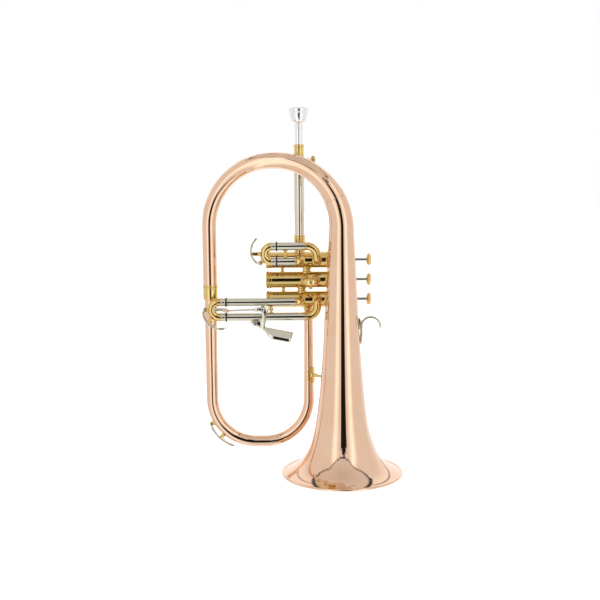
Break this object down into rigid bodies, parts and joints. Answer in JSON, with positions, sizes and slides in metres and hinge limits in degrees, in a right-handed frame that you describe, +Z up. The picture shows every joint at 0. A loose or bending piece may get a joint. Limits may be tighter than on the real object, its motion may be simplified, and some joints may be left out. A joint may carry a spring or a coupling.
{
  "type": "flugelhorn",
  "caption": "Three-valve flugelhorn with a rose brass bell and bows, pull-out slides, a sprung slide trigger, water keys and a mouthpiece, standing on its bell rim.",
  "frame": {"origin": "middle of the bottom of the bounding box, in the plane that the bell rim stands on", "axes": "+Z up along the bell towards the mouthpiece, +X along the valves towards the finger buttons, +Y from the third slide's side to the branch side"},
  "size_m": [0.2536, 0.154, 0.4614],
  "materials": {
    "rose_brass": "polished and lacquered",
    "yellow_brass": "polished and lacquered",
    "nickel_silver": "polished nickel silver",
    "silver_plate": "polished silver plate",
    "steel": "satin"
  },
  "bodies": {
    "horn": {"bell": "rose_brass", "rear_bow": "rose_brass", "bow_ferrule": "yellow_brass", "front_bow": "rose_brass", "valve_casing_1": "yellow_brass", "valve_casing_2": "yellow_brass", "valve_casing_3": "yellow_brass", "bottom_cap_1": "yellow_brass", "bottom_cap_2": "yellow_brass", "bottom_cap_3": "yellow_brass", "top_cap_1": "yellow_brass", "top_cap_2": "yellow_brass", "top_cap_3": "yellow_brass", "valve_spring_1": "steel", "valve_spring_2": "steel", "valve_spring_3": "steel", "crossover_tube_12": "yellow_brass", "crossover_tube_23": "yellow_brass", "casing_spacer_12": "yellow_brass", "casing_spacer_23": "yellow_brass", "leadpipe_socket": "yellow_brass", "tuning_sleeve": "nickel_silver", "sleeve_collar": "yellow_brass", "first_slide_upper_leg": "nickel_silver", "first_slide_lower_leg": "nickel_silver", "first_slide_stay": "yellow_brass", "third_slide_upper_leg": "nickel_silver", "third_slide_lower_leg": "nickel_silver", "third_slide_stay": "yellow_brass", "second_slide_left_port": "yellow_brass", "second_slide_right_port": "yellow_brass", "trigger_bracket": "yellow_brass", "trigger_pivot_screw": "steel", "upper_valve_brace": "yellow_brass", "lower_valve_brace": "yellow_brass", "bell_brace": "yellow_brass", "little_finger_hook": "nickel_silver"},
    "valve_1": {"piston_1": "nickel_silver", "valve_stem_1": "steel", "finger_button_1": "yellow_brass"},
    "valve_2": {"piston_2": "nickel_silver", "valve_stem_2": "steel", "finger_button_2": "yellow_brass"},
    "valve_3": {"piston_3": "nickel_silver", "valve_stem_3": "steel", "finger_button_3": "yellow_brass"},
    "first_crook": {"first_slide_crook": "yellow_brass"},
    "second_crook": {"second_slide_crook": "yellow_brass"},
    "third_crook": {"third_slide_crook": "yellow_brass", "trigger_rod": "nickel_silver"},
    "trigger": {"trigger_lever": "nickel_silver"},
    "first_water_key": {"water_key_1": "nickel_silver"},
    "third_water_key": {"water_key_2": "nickel_silver"},
    "bow_water_key": {"water_key_3": "nickel_silver"},
    "leadpipe_slide": {"leadpipe": "nickel_silver", "mouthpiece_receiver": "yellow_brass"},
    "mouthpiece": {"mouthpiece": "silver_plate"},
    "thumb_screw": {"thumb_screw": "yellow_brass"}
  },
  "joints": [
    {"name": "valve_1_press", "type": "slide", "parent": "horn", "child": "valve_1", "axis": [-1, 0, 0], "range_m": [0, 0.0165], "stiffness_N_per_m": 150, "springref_m": -0.02, "deforming": ["valve_spring_1"]},
    {"name": "valve_2_press", "type": "slide", "parent": "horn", "child": "valve_2", "axis": [-1, 0, 0], "range_m": [0, 0.0165], "stiffness_N_per_m": 150, "springref_m": -0.02, "deforming": ["valve_spring_2"]},
    {"name": "valve_3_press", "type": "slide", "parent": "horn", "child": "valve_3", "axis": [-1, 0, 0], "range_m": [0, 0.0165], "stiffness_N_per_m": 150, "springref_m": -0.02, "deforming": ["valve_spring_3"]},
    {"name": "first_slide", "type": "slide", "parent": "horn", "child": "first_crook", "axis": [-1, 0, 0], "range_m": [0, 0.018]},
    {"name": "second_slide", "type": "slide", "parent": "horn", "child": "second_crook", "axis": [0, -1, 0], "range_m": [0, 0.004]},
    {"name": "trigger_turn", "type": "hinge", "parent": "horn", "child": "trigger", "pos_m": [-0.0586, 0.0114, 0.1919], "axis": [0, -1, 0], "range_deg": [0, 22], "stiffness_Nm_per_rad": 0.05, "springref_deg": -22.92},
    {"name": "third_slide", "type": "slide", "parent": "horn", "child": "third_crook", "axis": [-1, 0, 0], "range_m": [0, 0.0077]},
    {"name": "first_key_turn", "type": "hinge", "parent": "first_crook", "child": "first_water_key", "pos_m": [-0.0623, 0.018, 0.27945], "axis": [0, 1, 0], "range_deg": [0, 14], "stiffness_Nm_per_rad": 0.02, "springref_deg": -28.65},
    {"name": "third_key_turn", "type": "hinge", "parent": "third_crook", "child": "third_water_key", "pos_m": [-0.11952, 0.018, 0.1927], "axis": [0, -1, 0], "range_deg": [0, 14], "stiffness_Nm_per_rad": 0.02, "springref_deg": -28.65},
    {"name": "bow_key_turn", "type": "hinge", "parent": "horn", "child": "bow_water_key", "pos_m": [-0.10697, 0.036, 0.03755], "axis": [0, -1, 0], "range_deg": [0, 10], "stiffness_Nm_per_rad": 0.02, "springref_deg": -28.65},
    {"name": "tuning_slide", "type": "slide", "parent": "horn", "child": "leadpipe_slide", "axis": [0, 0, 1], "range_m": [0, 0.02]},
    {"name": "mouthpiece_lift", "type": "slide", "parent": "leadpipe_slide", "child": "mouthpiece", "axis": [0, 0, 1], "range_m": [0, 0.03]},
    {"name": "thumb_screw_turn", "type": "hinge", "parent": "horn", "child": "thumb_screw", "pos_m": [0.0156, 0.036, 0.3955], "axis": [1, 0, 0], "range_deg": [0, 360]}
  ],
  "couplings": [
    {"joint": "third_slide", "follows": "trigger_turn", "m_per_rad": 0.02}
  ]
}
